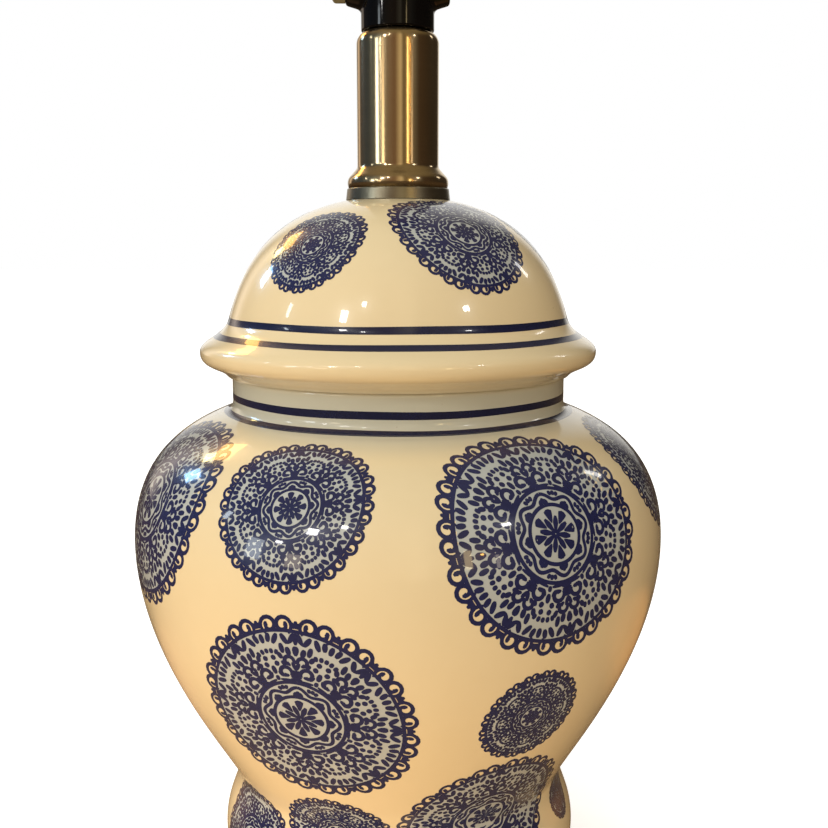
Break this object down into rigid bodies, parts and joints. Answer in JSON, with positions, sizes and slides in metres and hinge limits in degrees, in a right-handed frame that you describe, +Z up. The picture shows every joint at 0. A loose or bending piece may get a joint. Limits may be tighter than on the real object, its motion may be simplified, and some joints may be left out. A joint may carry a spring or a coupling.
{
  "type": "table lamp",
  "caption": "Ginger jar table lamp base: lidded glazed ceramic jar on a felted foot, brass neck and bayonet lampholder with a push-bar switch and shade ring.",
  "frame": {"origin": "on the floor under the middle of the lamp, at the underside of the felt pad", "axes": "+Z up along the lamp's axis, +X along the switch bar in the direction that it is pushed from rest, +Y towards the back, where the cord inlet is"},
  "size_m": [0.2106, 0.2106, 0.402],
  "materials": {
    "felt": "felt",
    "jar_glaze": "gloss",
    "lid_glaze": "gloss",
    "black_rubber": "matte",
    "zinc_steel": "zinc plated",
    "spring_steel": "drawn wire",
    "plate_brass": "aged satin",
    "neck_brass": "antique satin",
    "contact_brass": "bright",
    "cap_black": "gloss",
    "shell_black": "gloss",
    "ring_black": "gloss",
    "bar_finish": "satin",
    "insulator": "matte"
  },
  "bodies": {
    "lamp": {"felt_pad": "felt", "jar_body": "jar_glaze", "jar_lid": "lid_glaze", "cord_grommet": "black_rubber", "base_cushion": "black_rubber", "base_washer": "zinc_steel", "base_lock_washer": "zinc_steel", "base_nut": "zinc_steel", "centre_rod": "zinc_steel", "lid_washer": "black_rubber", "seat_plate": "plate_brass", "neck_seating_ring": "zinc_steel", "neck_tube": "neck_brass", "lampholder_cap": "cap_black", "cap_grub_screw": "zinc_steel", "switch_blades": "contact_brass", "lampholder_core": "insulator", "contact_spring_front": "spring_steel", "contact_spring_rear": "spring_steel", "terminal_front": "contact_brass", "terminal_rear": "contact_brass", "terminal_screws": "zinc_steel", "lampholder_shell": "shell_black"},
    "switch": {"switch_bar": "bar_finish", "switch_bridge": "contact_brass"},
    "front_plunger": {"contact_plunger_front": "contact_brass"},
    "rear_plunger": {"contact_plunger_rear": "contact_brass"},
    "ring": {"shade_ring": "ring_black"}
  },
  "joints": [
    {"name": "switch_push", "type": "slide", "parent": "lamp", "child": "switch", "axis": [1, 0, 0], "range_m": [0, 0.005]},
    {"name": "front_plunger_press", "type": "slide", "parent": "lamp", "child": "front_plunger", "axis": [0, 0, -1], "range_m": [0, 0.003], "stiffness_N_per_m": 700, "springref_m": -0.002, "deforming": ["contact_spring_front"]},
    {"name": "rear_plunger_press", "type": "slide", "parent": "lamp", "child": "rear_plunger", "axis": [0, 0, -1], "range_m": [0, 0.003], "stiffness_N_per_m": 700, "springref_m": -0.002, "deforming": ["contact_spring_rear"]},
    {"name": "shade_ring_off", "type": "slide", "parent": "lamp", "child": "ring", "axis": [0, 0, 1], "range_m": [0, 0.03]}
  ]
}
